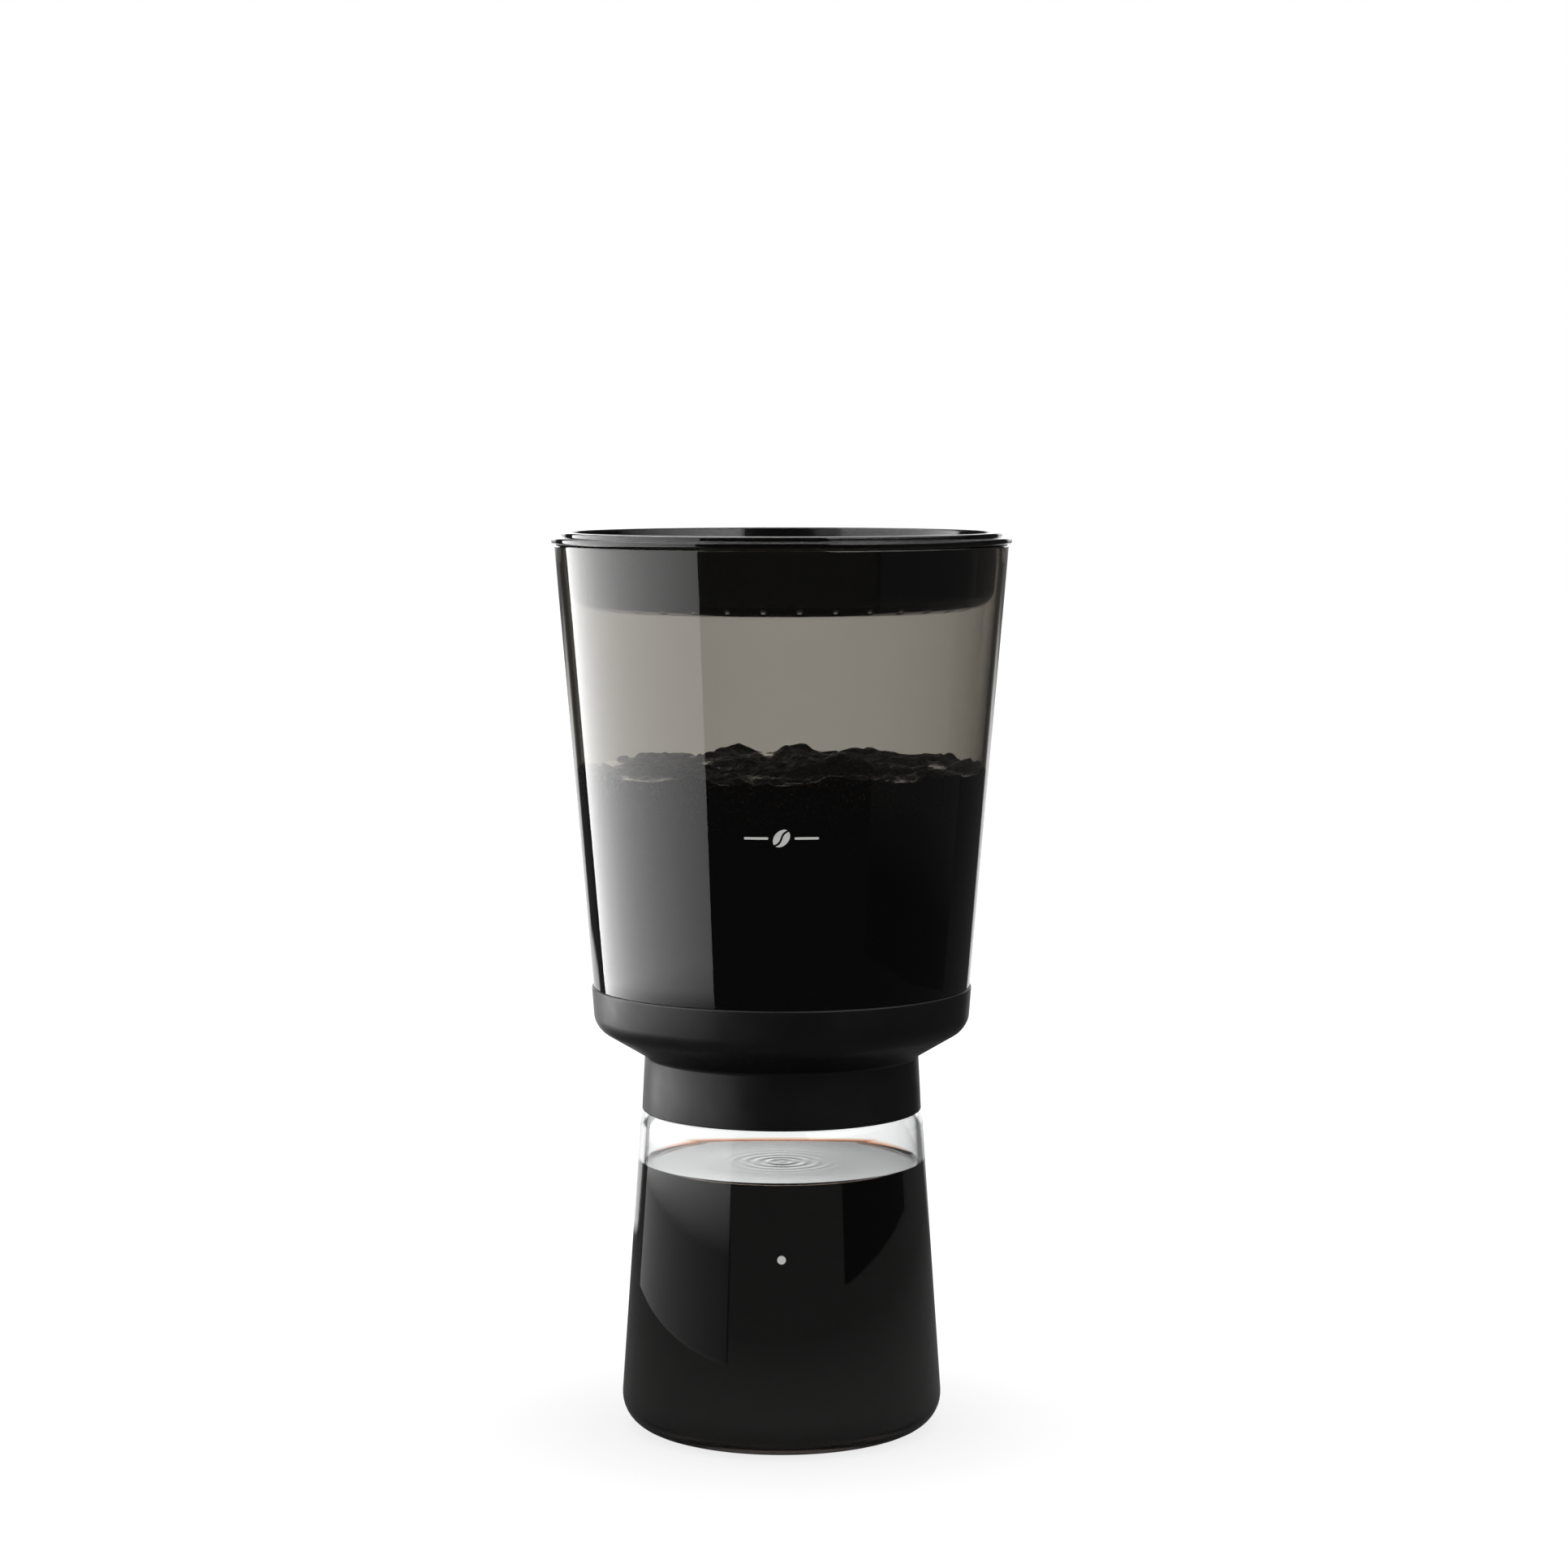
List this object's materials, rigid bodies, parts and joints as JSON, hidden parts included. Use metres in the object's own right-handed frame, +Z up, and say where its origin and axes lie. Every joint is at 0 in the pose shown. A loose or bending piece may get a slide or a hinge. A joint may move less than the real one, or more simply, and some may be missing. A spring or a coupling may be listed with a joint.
{
  "type": "cold brew coffee maker",
  "caption": "Cold brew coffee maker: glass carafe, smoky steeping container with a lift-open drain valve and mesh filter, and a perforated pouring dish on top.",
  "frame": {"origin": "centre of the carafe's foot, on the table", "axes": "+Z up along the common axis of carafe, container and dish; the printed marks face -Y"},
  "size_m": [0.1528, 0.1528, 0.3007],
  "materials": {
    "clear_glass": "clear, polished",
    "smoke_plastic": "smoky translucent, polished",
    "black_plastic": "fine satin texture",
    "silicone": "matte silicone",
    "steel": "stainless, plain"
  },
  "bodies": {
    "carafe": {"carafe_glass": "clear_glass"},
    "brewer": {"brew_container": "smoke_plastic", "base_shell": "black_plastic", "base_plate": "black_plastic", "base_screws": "steel", "base_nut": "black_plastic", "seat_ring": "silicone", "drain_fitting": "black_plastic", "drain_gasket": "silicone", "valve_spring": "steel"},
    "rain_dish": {"rain_dish": "smoke_plastic"},
    "filter": {"filter_frame": "black_plastic", "filter_mesh": "steel", "filter_gasket": "silicone"},
    "valve": {"valve_stem": "black_plastic", "valve_seal": "silicone", "lift_ring": "black_plastic", "stem_clip": "steel"}
  },
  "joints": [
    {"name": "brewer_lift", "type": "slide", "parent": "carafe", "child": "brewer", "axis": [0, 0, 1], "range_m": [0, 0.064]},
    {"name": "rain_dish_lift", "type": "slide", "parent": "brewer", "child": "rain_dish", "axis": [0, 0, 1], "range_m": [0, 0.065]},
    {"name": "filter_lift", "type": "slide", "parent": "brewer", "child": "filter", "axis": [0, 0, 1], "range_m": [0, 0.09]},
    {"name": "valve_travel", "type": "slide", "parent": "brewer", "child": "valve", "axis": [0, 0, 1], "range_m": [-0.004, 0], "deforming": ["valve_spring"]}
  ],
  "couplings": [
    {"joint": "valve_travel", "follows": "brewer_lift", "ratio": -0.0625}
  ]
}
